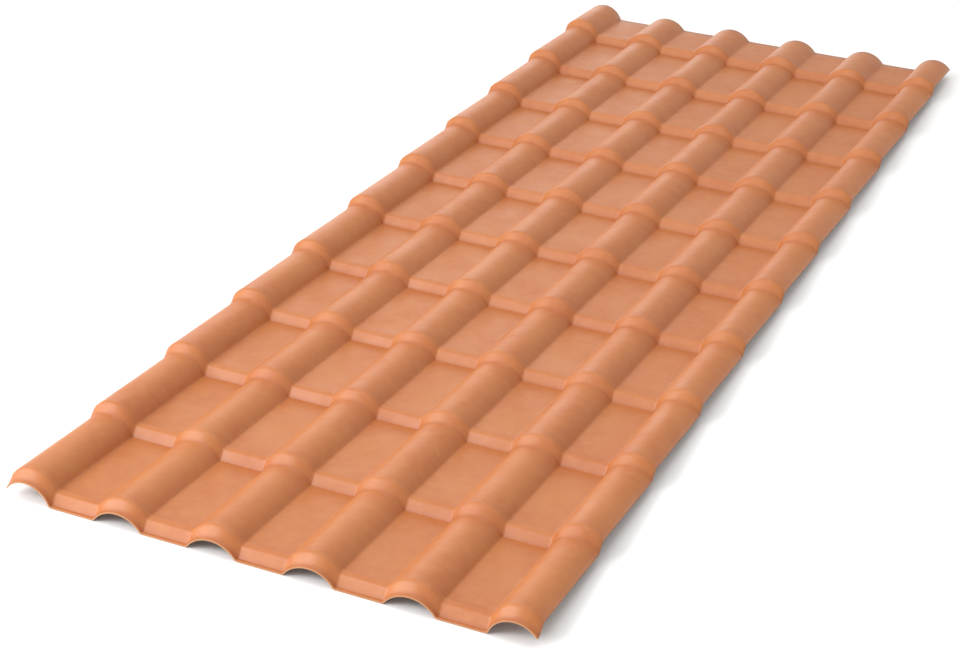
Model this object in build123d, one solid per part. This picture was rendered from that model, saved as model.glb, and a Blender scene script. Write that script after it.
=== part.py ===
from build123d import *
import math
import os

# Stepped plastic roof sheet, with round ridges and flat pans between them, in millimetres.
# It is one piece: extruded flat, waved across, pressed into short courses like rows of tiles, and sawn
# to length. X runs across it, Y up it from the eaves end, and Z up. It lies ridges up, and the origin
# is on the floor under the middle of the sheet.

# Section across the sheet, measured on its top surface. The ridge along each side, which laps a
# neighbouring sheet, stands taller than those between.
ridge_count = 6
ridge_pitch = 160.0
ridge_width = 84.0
ridge_height = 22.5
side_ridge_height = 31.0
side_reach = 35.0
sheet_thickness = 2.5

# Profile up the sheet: each course starts with a steep face and a narrow collar, then slopes down
# to the next one
sheet_length = 2360.0
course_length = 219.0
eaves_to_step = 6.0
face_run = 12.0
face_rise = 14.2
collar_length = 12.0
collar_rise = 0.8

last_crown_x = (ridge_count - 1) / 2 * ridge_pitch
half_width = last_crown_x + side_reach

# The wall is what is left between a block under the top surface and one under the lower surface,
# which runs on past it at both ends and below
upper_depth = 2 * side_ridge_height
lower_depth = 3 * side_ridge_height
end_overrun = side_ridge_height


def crown(ridge, inset):
    """One ridge as a single arc, for the surface that lies inset under the top one.

    The arcs of both surfaces turn about the same centre. A side ridge's outer flank stops at the
    sheet's side edge, short of its foot.
    """
    crown_x = ridge * ridge_pitch - last_crown_x
    height = side_ridge_height if ridge in (0, ridge_count - 1) else ridge_height
    top_radius = (ridge_width ** 2 / 4 + height ** 2) / (2 * height)
    centre_z = height - top_radius
    radius = top_radius - inset
    foot_x = math.sqrt(radius ** 2 - (inset + centre_z) ** 2)
    left_x = side_reach if ridge == 0 else foot_x
    right_x = side_reach if ridge == ridge_count - 1 else foot_x

    def on_arc(x):
        return Vector(crown_x + x, 0, centre_z + math.sqrt(radius ** 2 - x ** 2))

    return ThreePointArc(on_arc(-left_x), on_arc(0), on_arc(right_x))


def surface_line(inset):
    """Crowns and pans from side to side, for the surface that lies inset under the top one."""
    edges = [crown(0, inset)]
    for ridge in range(1, ridge_count):
        arc = crown(ridge, inset)
        edges += [Line(edges[-1] @ 1, arc @ 0), arc]
    return edges


def face_under(line, depth):
    """Face between a surface line and a level line below it, with upright sides."""
    low_left = Vector(-half_width, 0, -depth)
    low_right = Vector(half_width, 0, -depth)
    return make_face(line + [Polyline(line[-1] @ 1, low_right, low_left, line[0] @ 0)])


def course_profile(knots):
    """Profile up the sheet: the knots of every course in turn, from one course before its eaves end."""
    course_count = math.ceil((sheet_length + end_overrun - eaves_to_step) / course_length)
    points = []
    for course in range(-1, course_count + 1):
        foot_y = eaves_to_step + course * course_length
        points += [(foot_y + run, rise) for run, rise in knots]
    return points


def wall_below(points):
    """The profile moved the wall's thickness square to its runs, then raised by that thickness."""
    lowered = []
    for before, here, after in zip(points, points[1:], points[2:]):
        run_in = (Vector(*here) - Vector(*before)).normalized()
        run_out = (Vector(*after) - Vector(*here)).normalized()
        mitre = sheet_thickness / (1 + run_in.dot(run_out))
        y = here[0] + mitre * (run_in.Y + run_out.Y)
        z = here[1] - mitre * (run_in.X + run_out.X) + sheet_thickness
        lowered.append((y, z))
    return lowered


def sawn(points, low_y, high_y):
    """The profile between two saw cuts, with a point of its own at each."""

    def at(y):
        for (y0, z0), (y1, z1) in zip(points, points[1:]):
            if y0 <= y <= y1:
                return (y, z0 + (z1 - z0) * (y - y0) / (y1 - y0))

    inside = [point for point in points if low_y < point[0] < high_y]
    return [at(low_y)] + inside + [at(high_y)]


def carried_along(face, points):
    """Block that a face makes when it is carried along a profile without turning."""
    return loft([Pos(0, y, z) * face for y, z in points], ruled=True)


foot = (0, 0)
nose = (face_run, face_rise)
collar_end = (face_run + collar_length, face_rise + collar_rise)

# The lower surface's line is already inset by the wall's thickness in the section, so its profile is
# raised by that much again
top_profile = course_profile([foot, nose, collar_end])
lower_profile = wall_below(top_profile)

upper_block = carried_along(
    face_under(surface_line(0), upper_depth),
    sawn(top_profile, 0, sheet_length),
)
lower_block = carried_along(
    face_under(surface_line(sheet_thickness), lower_depth),
    sawn(lower_profile, -end_overrun, sheet_length + end_overrun),
)

floor_z = min(z for y, z in lower_profile) - sheet_thickness
roof_sheet = Pos(0, -sheet_length / 2, -floor_z) * (upper_block - lower_block)
roof_sheet.label = "roof_sheet"

os.makedirs("parts", exist_ok=True)
export_step(roof_sheet, "parts/roof_sheet.step")
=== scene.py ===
import math

import bmesh
import bpy
from mathutils import Matrix, Vector


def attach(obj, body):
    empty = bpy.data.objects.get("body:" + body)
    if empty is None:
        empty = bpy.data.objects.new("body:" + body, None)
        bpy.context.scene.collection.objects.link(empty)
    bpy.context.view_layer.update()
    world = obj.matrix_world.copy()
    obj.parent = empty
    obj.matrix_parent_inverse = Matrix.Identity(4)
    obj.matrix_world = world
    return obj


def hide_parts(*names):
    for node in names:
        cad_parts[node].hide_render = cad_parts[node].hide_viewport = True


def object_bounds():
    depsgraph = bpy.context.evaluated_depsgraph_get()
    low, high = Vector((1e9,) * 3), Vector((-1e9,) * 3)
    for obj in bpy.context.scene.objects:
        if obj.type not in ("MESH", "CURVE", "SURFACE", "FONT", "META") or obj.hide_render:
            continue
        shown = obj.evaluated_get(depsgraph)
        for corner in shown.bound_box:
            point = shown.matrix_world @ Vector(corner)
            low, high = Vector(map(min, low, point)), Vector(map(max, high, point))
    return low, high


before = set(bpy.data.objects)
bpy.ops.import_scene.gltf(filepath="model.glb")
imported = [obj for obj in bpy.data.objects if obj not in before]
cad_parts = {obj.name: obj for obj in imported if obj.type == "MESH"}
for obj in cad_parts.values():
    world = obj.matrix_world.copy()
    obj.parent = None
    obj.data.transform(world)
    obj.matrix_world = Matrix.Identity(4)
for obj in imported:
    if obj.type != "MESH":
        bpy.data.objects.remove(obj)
cad_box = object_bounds()


# Line across the sheet. The extruder leaves one even wall, and the rollers wave it into six round
# crowns with level pans between them. The two side crowns, which lap the next sheets, stand taller,
# and each crown meets its pans in a small soft foot.
CROWNS = 6
CROWN_PITCH = 0.160
CROWN_WIDTH = 0.084
CROWN_HEIGHT = 0.0225
SIDE_CROWN_HEIGHT = 0.031
SIDE_REACH = 0.035
CROWN_FOOT_RADIUS = 0.0045
CROWN_STEPS = 14
CROWN_FOOT_STEPS = 4
PAN_HOLD = 0.0016
# Painted shade at the crown feet: full on the foot's turn, less at its last point and at the pan's edge
# beside it.
FOOT_END_SHADE = 0.55
PAN_EDGE_SHADE = 0.25
# Share of a crown's height from which its own, softer step applies in full
CROWN_SHARE = 0.35


def crown_line(crown):
    """Points over one crown and down its feet: place across, height, painted shade in the foot, share of
    crown.

    A side crown's outer flank ends in the sheet's side edge instead of a foot.
    """
    crown_x = (crown - (CROWNS - 1) / 2) * CROWN_PITCH
    outer = {0: -1, CROWNS - 1: 1}.get(crown, 0)
    height = SIDE_CROWN_HEIGHT if outer else CROWN_HEIGHT
    radius = (CROWN_WIDTH ** 2 / 4 + height ** 2) / (2 * height)
    centre = height - radius
    foot_x = math.sqrt((radius + CROWN_FOOT_RADIUS) ** 2 - (CROWN_FOOT_RADIUS - centre) ** 2)
    foot_lean = math.atan2(foot_x, CROWN_FOOT_RADIUS - centre)
    side_lean = math.asin(SIDE_REACH / radius)
    left_lean = -side_lean if outer < 0 else -foot_lean
    right_lean = side_lean if outer > 0 else foot_lean
    over = []
    for step in range(CROWN_STEPS + 1):
        lean = left_lean + (right_lean - left_lean) * step / CROWN_STEPS
        z = centre + radius * math.cos(lean)
        over.append((crown_x + radius * math.sin(lean), z, 0.0, min(1.0, z / (CROWN_SHARE * height))))
    feet = {-1: [], 1: []}
    for side in {-1, 1} - {outer}:
        for step in range(1, CROWN_FOOT_STEPS + 1):
            lean = foot_lean * (1 - step / CROWN_FOOT_STEPS)
            x = crown_x + side * (foot_x - CROWN_FOOT_RADIUS * math.sin(lean))
            z = CROWN_FOOT_RADIUS * (1 - math.cos(lean))
            share = min(1.0, z / (CROWN_SHARE * height))
            feet[side].append((x, z, 1.0 if step < CROWN_FOOT_STEPS else FOOT_END_SHADE, share))
        feet[side].append((crown_x + side * (foot_x + PAN_HOLD), 0.0, PAN_EDGE_SHADE, 0.0))
    return feet[-1][::-1] + over + feet[1]


across = []
for crown in range(CROWNS):
    if crown > 0:
        across.append(((crown - CROWNS / 2) * CROWN_PITCH, 0.0, 0.0, 0.0))
    across += crown_line(crown)

across_mesh = bpy.data.meshes.new("line_across_sheet")
across_links = [(i, i + 1) for i in range(len(across) - 1)]
across_mesh.from_pydata([(x, 0, z) for x, z, crease, share in across], across_links, [])
for place, label in ((2, "crease_across"), (3, "crown_share")):
    values = [point[place] for point in across]
    across_mesh.attributes.new(label, "FLOAT", "POINT").data.foreach_set("value", values)
roof_sheet = bpy.data.objects.new("roof_sheet_dressed", across_mesh)
bpy.context.scene.collection.objects.link(roof_sheet)


# Line up one course. A press closes on the hot sheet and sets it up in a steep face, a narrow collar
# and a small shoulder, and from there it falls gently to the next face.
SHEET_LENGTH = 2.360
COURSE_LENGTH = 0.219
EAVES_TO_STEP = 0.006
COURSES = 12
# Each knot has its place up the course, its height, the radius that it is turned on, and the steps round
# that radius. The third turns on less than the wall's thickness, so the wall's inner face folds over
# itself below it, across every pan.
STEP_KNOTS = [
    (0.0000, 0.0000, 0.0030, 4),
    (0.0120, 0.0142, 0.0042, 4),
    (0.0240, 0.0150, 0.0018, 2),
    (0.0260, 0.0137, 0.0022, 2),
]
CROWN_STEP_KNOTS = [
    (-0.0010, 0.0000, 0.0100, 8),
    (0.0145, 0.0148, 0.0100, 16),
    (0.0300, 0.0132, 0.0120, 8),
]
# Painted shade up the course, for each knot: full at the foot of the step, none on the nose, a little at the
# collar's end and more at the shoulder. The runs between knots get a little, the top of each slope a little
# more and its foot half.
KNOT_SHADES = (1.0, 0.0, 0.15, 0.6)
POINTS_BEFORE_KNOTS = (0, 2, 2, 0)
STEP_RUN_SHADE = 0.1
SLOPE_STEPS = 5
SLOPE_HOLD = 0.0022
SLOPE_TOP_SHADE = 0.2
SLOPE_FOOT_SHADE = 0.5
NEXT_COURSE = Vector((COURSE_LENGTH, 0.0))


def turned_corner(before, corner, after, radius, steps):
    """Points round a corner of a line, on the arc of that radius that touches both of its runs."""
    into = (corner - before).normalized()
    out = (after - corner).normalized()
    reach = radius * math.tan(into.angle(out) / 2)
    start, end = corner - into * reach, corner + out * reach
    middle = (out - into).normalized()
    centre = corner + middle * math.hypot(radius, reach)
    turn = (end - centre).angle(start - centre)
    points = []
    for step in range(steps + 1):
        share = step / steps
        from_start = (start - centre) * math.sin(turn * (1 - share))
        from_end = (end - centre) * math.sin(turn * share)
        points.append(centre + (from_start + from_end) / math.sin(turn))
    return points


def turned_course(step_knots):
    """Points up one course, as a list for each knot, turned on that knot's own radius."""
    knots = [Vector((y, z)) for y, z, radius, steps in step_knots]
    ring = [knots[-1] - NEXT_COURSE] + knots + [knots[0] + NEXT_COURSE]
    turns = []
    for before, knot, after, (y, z, radius, steps) in zip(ring, knots, ring[2:], step_knots):
        turns.append(turned_corner(before, knot, after, radius, steps))
    return turns


def height_at(line, y):
    """Height of a line of points at a place up the sheet."""
    for low, high in zip(line, line[1:]):
        if low.x <= y <= high.x:
            return low.y + (high.y - low.y) * (y - low.x) / (high.x - low.x)


turns = turned_course(STEP_KNOTS)
slope = (turns[0][0] + NEXT_COURSE - turns[-1][-1]).normalized()
along = [(turns[0][0] - slope * SLOPE_HOLD, SLOPE_FOOT_SHADE)]
for turn, crease, count in zip(turns, KNOT_SHADES, POINTS_BEFORE_KNOTS):
    last = along[-1][0]
    along += [(last.lerp(turn[0], step / (count + 1)), STEP_RUN_SHADE) for step in range(1, count + 1)]
    along += [(point, crease) for point in turn]
slope_start = along[-1][0] + slope * SLOPE_HOLD
slope_end = along[0][0] + NEXT_COURSE
for step in range(SLOPE_STEPS):
    along.append((slope_start.lerp(slope_end, step / SLOPE_STEPS), SLOPE_TOP_SHADE if step == 0 else 0.0))

# Over the crowns the step is softer. The difference in height is kept for each point of the line.
crown_turns = [point for turn in turned_course(CROWN_STEP_KNOTS) for point in turn]
crown_course = [crown_turns[-1] - NEXT_COURSE] + crown_turns + [crown_turns[0] + NEXT_COURSE]
crown_rises = [height_at(crown_course, point.x) - point.y for point, crease in along]

along_mesh = bpy.data.meshes.new("line_up_course")
along_links = [(i, i + 1) for i in range(len(along) - 1)]
along_mesh.from_pydata([(0, point.x, point.y) for point, crease in along], along_links, [])
for label, values in (("crease_along", [crease for point, crease in along]), ("crown_rise", crown_rises)):
    along_mesh.attributes.new(label, "FLOAT", "POINT").data.foreach_set("value", values)
course_line = bpy.data.objects.new("line_up_course", along_mesh)
bpy.context.scene.collection.objects.link(course_line)


# Top finish. The outer skin is a weatherproof terracotta plastic with a satin, very slightly pebbled
# face. In the feet of the steps and crowns it is painted a little darker and redder, as painted shade.
PALE_CLAY = (0.462, 0.150, 0.0370)
DEEP_CLAY = (0.436, 0.128, 0.0300)
DUSTY_CLAY = (0.500, 0.178, 0.049)
# Dark red colour painted into the feet of the steps and crowns as shade, and how far it is mixed in.
CREASE_SHADE_CLAY = (0.293, 0.061, 0.012)
CREASE_SHADE_STRENGTH = 0.6
PEBBLE_HEIGHT = 0.00006
WOBBLE_HEIGHT = 0.0005

terracotta = bpy.data.materials.new("terracotta_skin")
terracotta.use_nodes = True
skin = terracotta.node_tree
skin_shader = skin.nodes["Principled BSDF"]
skin_shader.inputs["Metallic"].default_value = 0.0
skin_shader.inputs["IOR"].default_value = 1.49
skin_shader.inputs["Specular IOR Level"].default_value = 0.60
skin_place = skin.nodes.new("ShaderNodeTexCoord")


def skin_noise(scale, detail, roughness=0.5):
    """Noise over the skin, in object coordinates, at so many blotches to the metre."""
    noise = skin.nodes.new("ShaderNodeTexNoise")
    noise.inputs["Scale"].default_value = scale
    noise.inputs["Detail"].default_value = detail
    noise.inputs["Roughness"].default_value = roughness
    skin.links.new(skin_place.outputs["Object"], noise.inputs["Vector"])
    return noise.outputs["Fac"]


def skin_range(value, low, high, to_low, to_high):
    """Map a value from one range to another, and hold it there."""
    mapped = skin.nodes.new("ShaderNodeMapRange")
    for name, number in (("From Min", low), ("From Max", high), ("To Min", to_low), ("To Max", to_high)):
        mapped.inputs[name].default_value = number
    skin.links.new(value, mapped.inputs["Value"])
    return mapped.outputs["Result"]


def skin_mix(amount, under, over):
    """Blend two skin colours. Each is a colour or another blend."""
    mix = skin.nodes.new("ShaderNodeMix")
    mix.data_type = "RGBA"
    skin.links.new(amount, mix.inputs["Factor"])
    for socket, colour in (("A", under), ("B", over)):
        target = [s for s in mix.inputs if s.name == socket and s.type == "RGBA"][0]
        if isinstance(colour, tuple):
            target.default_value = (*colour, 1.0)
        else:
            skin.links.new(colour, target)
    return [s for s in mix.outputs if s.type == "RGBA"][0]


def skin_maths(operation, left, right):
    """Arithmetic on two values, either of which may be a plain number."""
    maths = skin.nodes.new("ShaderNodeMath")
    maths.operation = operation
    for place, value in enumerate((left, right)):
        if isinstance(value, (int, float)):
            maths.inputs[place].default_value = value
        else:
            skin.links.new(value, maths.inputs[place])
    return maths.outputs["Value"]


# Painted shade: the stored shade value pulls the skin towards the dark red in the feet of the steps and
# crowns.
crease = skin.nodes.new("ShaderNodeAttribute")
crease.attribute_name = "crease"
blotches = skin_range(skin_noise(9.0, 3.0), 0.35, 0.65, 0.0, 1.0)
mottle = skin_range(skin_noise(55.0, 4.0, 0.62), 0.38, 0.68, 0.0, 0.55)
clay = skin_mix(blotches, PALE_CLAY, DEEP_CLAY)
clay = skin_mix(mottle, clay, DUSTY_CLAY)
clay = skin_mix(skin_maths("MULTIPLY", crease.outputs["Fac"], CREASE_SHADE_STRENGTH), clay, CREASE_SHADE_CLAY)
skin.links.new(clay, skin_shader.inputs["Base Color"])

gloss = skin_range(skin_noise(16.0, 4.0), 0.3, 0.7, 0.40, 0.52)
skin.links.new(gloss, skin_shader.inputs["Roughness"])

pebble = skin_noise(900.0, 2.0)
wobble = skin_noise(22.0, 2.0)
pebble_relief = skin_maths("MULTIPLY", pebble, PEBBLE_HEIGHT)
wobble_relief = skin_maths("MULTIPLY", wobble, WOBBLE_HEIGHT)
relief = skin_maths("ADD", pebble_relief, wobble_relief)
skin_bump = skin.nodes.new("ShaderNodeBump")
skin_bump.inputs["Strength"].default_value = 0.5
skin_bump.inputs["Distance"].default_value = 1.0
skin.links.new(relief, skin_bump.inputs["Height"])
skin.links.new(skin_bump.outputs["Normal"], skin_shader.inputs["Normal"])


# Underside finish. This side has no weatherproof skin: a darker, duller brown than the top, with a few
# long rub marks from the conveyor.
DARK_BROWN = (0.210, 0.085, 0.042, 1.0)
RUBBED_BROWN = (0.270, 0.115, 0.060, 1.0)

brown = bpy.data.materials.new("brown_underside")
brown.use_nodes = True
back = brown.node_tree
back_shader = back.nodes["Principled BSDF"]
back_place = back.nodes.new("ShaderNodeTexCoord")
back_stretch = back.nodes.new("ShaderNodeMapping")
back_stretch.inputs["Scale"].default_value = (60.0, 2.5, 60.0)
back.links.new(back_place.outputs["Object"], back_stretch.inputs["Vector"])
back_rub = back.nodes.new("ShaderNodeTexNoise")
back_rub.inputs["Scale"].default_value = 1.0
back_rub.inputs["Detail"].default_value = 4.0
back.links.new(back_stretch.outputs["Vector"], back_rub.inputs["Vector"])
back_colour = back.nodes.new("ShaderNodeValToRGB")
back_colour.color_ramp.elements[0].position = 0.35
back_colour.color_ramp.elements[0].color = DARK_BROWN
back_colour.color_ramp.elements[1].position = 0.65
back_colour.color_ramp.elements[1].color = RUBBED_BROWN
back.links.new(back_rub.outputs["Fac"], back_colour.inputs["Fac"])
back.links.new(back_colour.outputs["Color"], back_shader.inputs["Base Color"])
back_gloss = back.nodes.new("ShaderNodeMapRange")
back_gloss.inputs["To Min"].default_value = 0.55
back_gloss.inputs["To Max"].default_value = 0.75
back.links.new(back_rub.outputs["Fac"], back_gloss.inputs["Value"])
back.links.new(back_gloss.outputs["Result"], back_shader.inputs["Roughness"])
back_grain = back.nodes.new("ShaderNodeTexNoise")
back_grain.inputs["Scale"].default_value = 700.0
back.links.new(back_place.outputs["Object"], back_grain.inputs["Vector"])
back_bump = back.nodes.new("ShaderNodeBump")
back_bump.inputs["Strength"].default_value = 0.4
back_bump.inputs["Distance"].default_value = 0.0001
back.links.new(back_grain.outputs["Fac"], back_bump.inputs["Height"])
back.links.new(back_bump.outputs["Normal"], back_shader.inputs["Normal"])


# Cut-edge finish. A saw has gone square through the wall, so the tan core shows under the thin
# terracotta skin, dull and finely scratched.
SKIN_SHARE = 0.14
SKIN_FADE = 0.06
SAWN_SKIN = (0.450, 0.140, 0.034, 1.0)
SAWN_CORE = (0.480, 0.240, 0.120, 1.0)

tan = bpy.data.materials.new("sawn_edge")
tan.use_nodes = True
edge = tan.node_tree
edge_shader = edge.nodes["Principled BSDF"]
edge_shader.inputs["Roughness"].default_value = 0.72
edge_depth = edge.nodes.new("ShaderNodeAttribute")
edge_depth.attribute_name = "depth"
edge_colour = edge.nodes.new("ShaderNodeValToRGB")
edge_colour.color_ramp.elements[0].position = SKIN_SHARE
edge_colour.color_ramp.elements[0].color = SAWN_SKIN
edge_colour.color_ramp.elements[1].position = SKIN_SHARE + SKIN_FADE
edge_colour.color_ramp.elements[1].color = SAWN_CORE
edge.links.new(edge_depth.outputs["Fac"], edge_colour.inputs["Fac"])
edge.links.new(edge_colour.outputs["Color"], edge_shader.inputs["Base Color"])
edge_place = edge.nodes.new("ShaderNodeTexCoord")
edge_scratch = edge.nodes.new("ShaderNodeTexNoise")
edge_scratch.inputs["Scale"].default_value = 1400.0
edge.links.new(edge_place.outputs["Object"], edge_scratch.inputs["Vector"])
edge_bump = edge.nodes.new("ShaderNodeBump")
edge_bump.inputs["Strength"].default_value = 0.5
edge_bump.inputs["Distance"].default_value = 0.0002
edge.links.new(edge_scratch.outputs["Fac"], edge_bump.inputs["Height"])
edge.links.new(edge_bump.outputs["Normal"], edge_shader.inputs["Normal"])


# Sheet surface. Geometry nodes repeat the course line up the sheet and carry the line across along it,
# without turning it, as the press does course by course.
# Painted shade: how much of it the crown feet alone and the step feet alone give; where the two meet it is
# full.
PAN_EDGE_SHADE_SHARE = 0.04
STEP_SHADE_SHARE = 0.55

laying = bpy.data.node_groups.new("Stepped sheet", "GeometryNodeTree")
inlets = {}
for label, kind in (
    ("Line Across", "NodeSocketGeometry"),
    ("Course Line", "NodeSocketObject"),
    ("Courses", "NodeSocketInt"),
    ("Course Length", "NodeSocketFloat"),
    ("First Foot", "NodeSocketFloat"),
    ("Top Finish", "NodeSocketMaterial"),
):
    inlets[label] = laying.interface.new_socket(label, in_out="INPUT", socket_type=kind)
laying.interface.new_socket("Sheet", in_out="OUTPUT", socket_type="NodeSocketGeometry")
given = laying.nodes.new("NodeGroupInput")
result = laying.nodes.new("NodeGroupOutput")


def lay(kind, links, **settings):
    """Add a node of that kind to the sheet's tree, and feed its named or numbered inputs."""
    node = laying.nodes.new(kind)
    for name, value in settings.items():
        setattr(node, name, value)
    for socket, source in links.items():
        if isinstance(source, (int, float, bool, str)):
            node.inputs[socket].default_value = source
        else:
            laying.links.new(source, node.inputs[socket])
    return node


course_source = lay("GeometryNodeObjectInfo", {"Object": given.outputs["Course Line"]})
first_place = lay("ShaderNodeCombineXYZ", {"Y": given.outputs["First Foot"]})
next_place = lay("ShaderNodeCombineXYZ", {"Y": given.outputs["Course Length"]})
course_places = lay(
    "GeometryNodeMeshLine",
    {
        "Count": given.outputs["Courses"],
        "Start Location": first_place.outputs[0],
        "Offset": next_place.outputs[0],
    },
    mode="OFFSET",
)
courses = lay(
    "GeometryNodeInstanceOnPoints",
    {"Points": course_places.outputs["Mesh"], "Instance": course_source.outputs["Geometry"]},
)
full_profile = lay("GeometryNodeRealizeInstances", {"Geometry": courses.outputs["Instances"]})
line_across, line_along = given.outputs["Line Across"], full_profile.outputs["Geometry"]
count_across = lay("GeometryNodeAttributeDomainSize", {"Geometry": line_across}, component="MESH")
count_along = lay("GeometryNodeAttributeDomainSize", {"Geometry": line_along}, component="MESH")
points_across, points_along = count_across.outputs["Point Count"], count_along.outputs["Point Count"]
blank = lay("GeometryNodeMeshGrid", {"Vertices X": points_across, "Vertices Y": points_along})
index = lay("GeometryNodeInputIndex", {}).outputs[0]
place_across = lay("FunctionNodeIntegerMath", {0: index, 1: points_along}, operation="DIVIDE_FLOOR")
place_along = lay("FunctionNodeIntegerMath", {0: index, 1: points_along}, operation="MODULO")


def taken(line, field, place, kind):
    """Value that a line's point holds, read at a place on the blank."""
    node = lay("GeometryNodeSampleIndex", {"Geometry": line, "Index": place}, data_type=kind, domain="POINT")
    laying.links.new(field, node.inputs["Value"])
    return node.outputs["Value"]


def marked(name):
    """A named value that a line's points hold."""
    return lay("GeometryNodeInputNamedAttribute", {"Name": name}, data_type="FLOAT").outputs["Attribute"]


position = lay("GeometryNodeInputPosition", {}).outputs[0]
here_across, here_along = place_across.outputs[0], place_along.outputs[0]
summed = lay(
    "ShaderNodeVectorMath",
    {
        0: taken(line_across, position, here_across, "FLOAT_VECTOR"),
        1: taken(line_along, position, here_along, "FLOAT_VECTOR"),
    },
    operation="ADD",
)
crown_share = taken(line_across, marked("crown_share"), here_across, "FLOAT")
crown_rise = taken(line_along, marked("crown_rise"), here_along, "FLOAT")
softened = lay("ShaderNodeMath", {0: crown_share, 1: crown_rise}, operation="MULTIPLY")
soft_step = lay("ShaderNodeCombineXYZ", {"Z": softened.outputs[0]})
pressed = lay(
    "GeometryNodeSetPosition",
    {"Geometry": blank.outputs["Mesh"], "Position": summed.outputs[0], "Offset": soft_step.outputs[0]},
)
# Painted shade: darkest where a crown's foot meets a step's foot, stored on the points for the top finish.
shade_across_here = taken(line_across, marked("crease_across"), here_across, "FLOAT")
shade_along_here = taken(line_along, marked("crease_along"), here_along, "FLOAT")
shade_both_ways = lay("ShaderNodeMath", {0: shade_across_here, 1: shade_along_here}, operation="MULTIPLY")
side_shade = lay("ShaderNodeMath", {0: shade_across_here, 1: PAN_EDGE_SHADE_SHARE}, operation="MULTIPLY")
step_shade = lay("ShaderNodeMath", {0: shade_along_here, 1: STEP_SHADE_SHARE}, operation="MULTIPLY")
either_shade = lay("ShaderNodeMath", {0: side_shade.outputs[0], 1: step_shade.outputs[0]}, operation="MAXIMUM")
darkest_shade = lay("ShaderNodeMath", {0: shade_both_ways.outputs[0], 1: either_shade.outputs[0]}, operation="MAXIMUM")
shade_stored = lay(
    "GeometryNodeStoreNamedAttribute",
    {"Geometry": pressed.outputs["Geometry"], "Name": "crease", "Value": darkest_shade.outputs[0]},
    data_type="FLOAT",
    domain="POINT",
)
smooth = lay("GeometryNodeSetShadeSmooth", {"Geometry": shade_stored.outputs["Geometry"]})
plain = lay("GeometryNodeRealizeInstances", {"Geometry": smooth.outputs["Geometry"]})
finished = lay(
    "GeometryNodeSetMaterial",
    {"Geometry": plain.outputs["Geometry"], "Material": given.outputs["Top Finish"]},
)
laying.links.new(finished.outputs["Geometry"], result.inputs["Sheet"])

press = roof_sheet.modifiers.new("stepped_sheet", "NODES")
press.node_group = laying
press[inlets["Course Line"].identifier] = course_line
press[inlets["Courses"].identifier] = COURSES
press[inlets["Course Length"].identifier] = COURSE_LENGTH
press[inlets["First Foot"].identifier] = EAVES_TO_STEP - COURSE_LENGTH - SHEET_LENGTH / 2
press[inlets["Top Finish"].identifier] = terracotta


def settled_mesh(piece):
    """Plain mesh of a piece as its modifiers leave it."""
    bpy.context.view_layer.update()
    evaluated = piece.evaluated_get(bpy.context.evaluated_depsgraph_get())
    return bpy.data.meshes.new_from_object(evaluated)


surface = settled_mesh(roof_sheet)
roof_sheet.modifiers.clear()
roof_sheet.data = surface
bpy.data.objects.remove(course_line)


# Wall. The extruded sheet is one even thickness, with the skin on top and the duller side underneath,
# and its side edges are trimmed square.
SHEET_THICKNESS = 0.0025
FEET_ABOVE_FLOOR = 0.0025908
TOP_SLOT, UNDERSIDE_SLOT, EDGE_SLOT = 0, 1, 2

surface.transform(Matrix.Translation((0, 0, cad_box[0][2] + FEET_ABOVE_FLOOR)))
surface.materials.clear()
for finish in (terracotta, brown, tan):
    surface.materials.append(finish)
surface.polygons.foreach_set("material_index", [TOP_SLOT] * len(surface.polygons))
top_count = len(surface.vertices)
wall = roof_sheet.modifiers.new("wall", "SOLIDIFY")
wall.thickness = SHEET_THICKNESS
wall.offset = -1.0
wall.use_even_offset = True
wall.use_rim = True
wall.material_offset = UNDERSIDE_SLOT
wall.material_offset_rim = EDGE_SLOT
walled = settled_mesh(roof_sheet)
roof_sheet.modifiers.clear()
roof_sheet.data = walled
depths = [0.0] * top_count + [1.0] * (len(walled.vertices) - top_count)
walled.attributes.new("depth", "FLOAT", "POINT").data.foreach_set("value", depths)


# Sawn ends. The moving sheet is sawn straight across at both ends: a few millimetres before the first
# step at the eaves, and part of the way up the last course.
SAW_MERGE = 1e-6


def saw(mesh, cut_y, keep_side):
    """Saw the walled sheet across at cut_y, keep the side that is -1 or 1, and close the wall there."""
    sheet = bmesh.new()
    sheet.from_mesh(mesh)
    everything = sheet.verts[:] + sheet.edges[:] + sheet.faces[:]
    cut = bmesh.ops.bisect_plane(
        sheet,
        geom=everything,
        dist=SAW_MERGE,
        plane_co=(0, cut_y, 0),
        plane_no=(0, -keep_side, 0),
        clear_outer=True,
    )
    rows = {TOP_SLOT: set(), UNDERSIDE_SLOT: set()}
    for piece in cut["geom_cut"]:
        if isinstance(piece, bmesh.types.BMEdge):
            side = min(face.material_index for face in piece.link_faces)
            if side in rows:
                rows[side].update(piece.verts)
    top, under = (sorted(row, key=lambda vert: vert.co.x) for row in rows.values())
    for left in range(min(len(top), len(under)) - 1):
        corners = [top[left], under[left], under[left + 1], top[left + 1]]
        face = sheet.faces.new(corners if keep_side > 0 else corners[::-1])
        face.material_index = EDGE_SLOT
    sheet.to_mesh(mesh)
    sheet.free()


saw(walled, -SHEET_LENGTH / 2, 1)
saw(walled, SHEET_LENGTH / 2, -1)
for polygon in walled.polygons:
    if polygon.material_index == EDGE_SLOT:
        polygon.use_smooth = False
walled.update()

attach(roof_sheet, "root")
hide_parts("roof_sheet")


# Studio. The sheet lies on a plain white floor, under big soft lights from its left, in front of it and
# above it, with white all round.
FLOOR_REACH = 25.0
PAPER_WHITE = (0.95, 0.95, 0.95, 1.0)
SURROUND_WHITE = (1.0, 0.99, 0.975, 1.0)
SURROUND_STRENGTH = 0.76
LIGHT_AIM = Vector((0.0, -0.3, 0.0))

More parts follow.
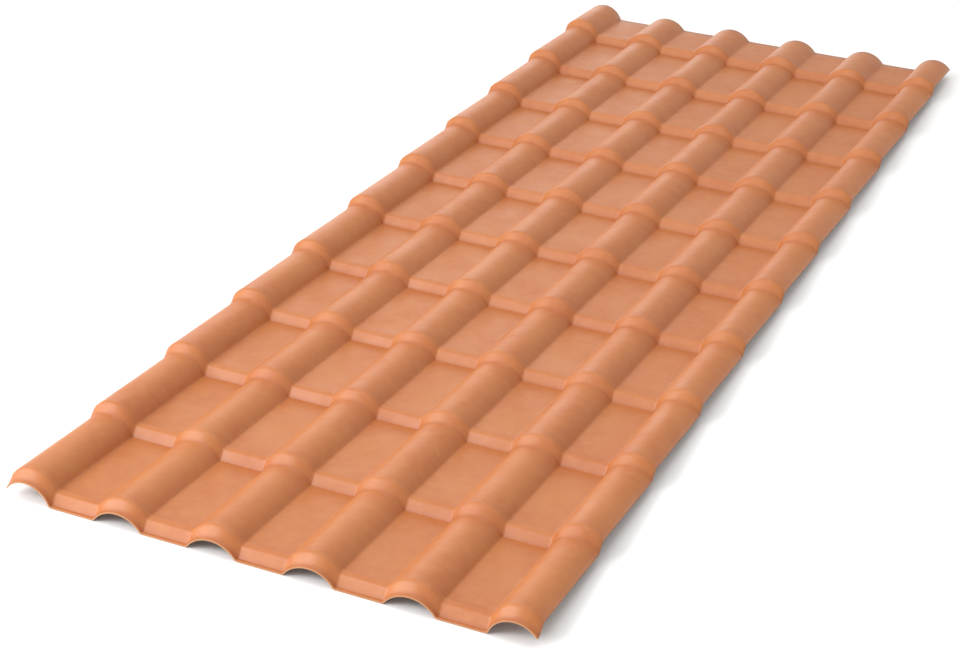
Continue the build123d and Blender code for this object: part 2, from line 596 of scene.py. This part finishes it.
floor_corners = [(x * FLOOR_REACH, y * FLOOR_REACH, 0) for x, y in ((-1, -1), (1, -1), (1, 1), (-1, 1))]
floor_mesh = bpy.data.meshes.new("studio_floor")
floor_mesh.from_pydata(floor_corners, [], [(0, 1, 2, 3)])
floor = bpy.data.objects.new("studio_floor", floor_mesh)
bpy.context.scene.collection.objects.link(floor)
paper = bpy.data.materials.new("white_paper")
paper.use_nodes = True
paper_shader = paper.node_tree.nodes["Principled BSDF"]
paper_shader.inputs["Base Color"].default_value = PAPER_WHITE
paper_shader.inputs["Roughness"].default_value = 0.9
floor_mesh.materials.append(paper)

studio = bpy.data.worlds.new("studio")
studio.use_nodes = True
surround = studio.node_tree.nodes["Background"]
surround.inputs["Color"].default_value = SURROUND_WHITE
surround.inputs["Strength"].default_value = SURROUND_STRENGTH
bpy.context.scene.world = studio
bpy.context.scene.view_settings.view_transform = "Standard"


def softbox(name, place, size, watts):
    """Large square white light at a place, turned towards the sheet."""
    lamp = bpy.data.lights.new(name, "AREA")
    lamp.size = size
    lamp.energy = watts
    light = bpy.data.objects.new(name, lamp)
    light.location = place
    light.visible_camera = False
    light.rotation_euler = (LIGHT_AIM - Vector(place)).to_track_quat("-Z", "Y").to_euler()
    bpy.context.scene.collection.objects.link(light)


softbox("front_left_softbox", (-2.0, -3.5, 2.8), 2.0, 92.0)
softbox("low_front_left_softbox", (-3.8, -2.6, 1.3), 2.0, 75.0)
softbox("high_left_softbox", (-3.0, -1.2, 3.0), 2.0, 40.0)
softbox("back_left_softbox", (-2.5, 4.0, 1.2), 2.5, 24.0)
softbox("top_softbox", (0.0, 0.0, 4.5), 3.0, 47.0)


# Camera. It stands to the right of the eaves end, looking up the length of the sheet and down on it, as
# the photograph does.
CAMERA_PLACE = (1.30727, -3.35497, 1.74911)
CAMERA_AZIMUTH = 23.98
CAMERA_ELEVATION = 28.16
CAMERA_ROLL = 1.13

camera_data = bpy.data.cameras.new("photo_camera")
camera_data.sensor_width = 36.0
camera_data.lens = 79.67
camera_data.clip_end = 60.0
camera = bpy.data.objects.new("photo_camera", camera_data)
azimuth, elevation, roll = (math.radians(turn) for turn in (CAMERA_AZIMUTH, CAMERA_ELEVATION, CAMERA_ROLL))
backwards = Vector(
    (math.sin(azimuth) * math.cos(elevation), -math.cos(azimuth) * math.cos(elevation), math.sin(elevation))
)
level_right = Vector((0, 0, 1)).cross(backwards).normalized()
level_up = backwards.cross(level_right)
right = level_right * math.cos(roll) + level_up * math.sin(roll)
up = level_up * math.cos(roll) - level_right * math.sin(roll)
turned = Matrix((right, up, backwards)).transposed().to_4x4()
camera.matrix_world = Matrix.Translation(CAMERA_PLACE) @ turned
bpy.context.scene.collection.objects.link(camera)
bpy.context.scene.camera = camera
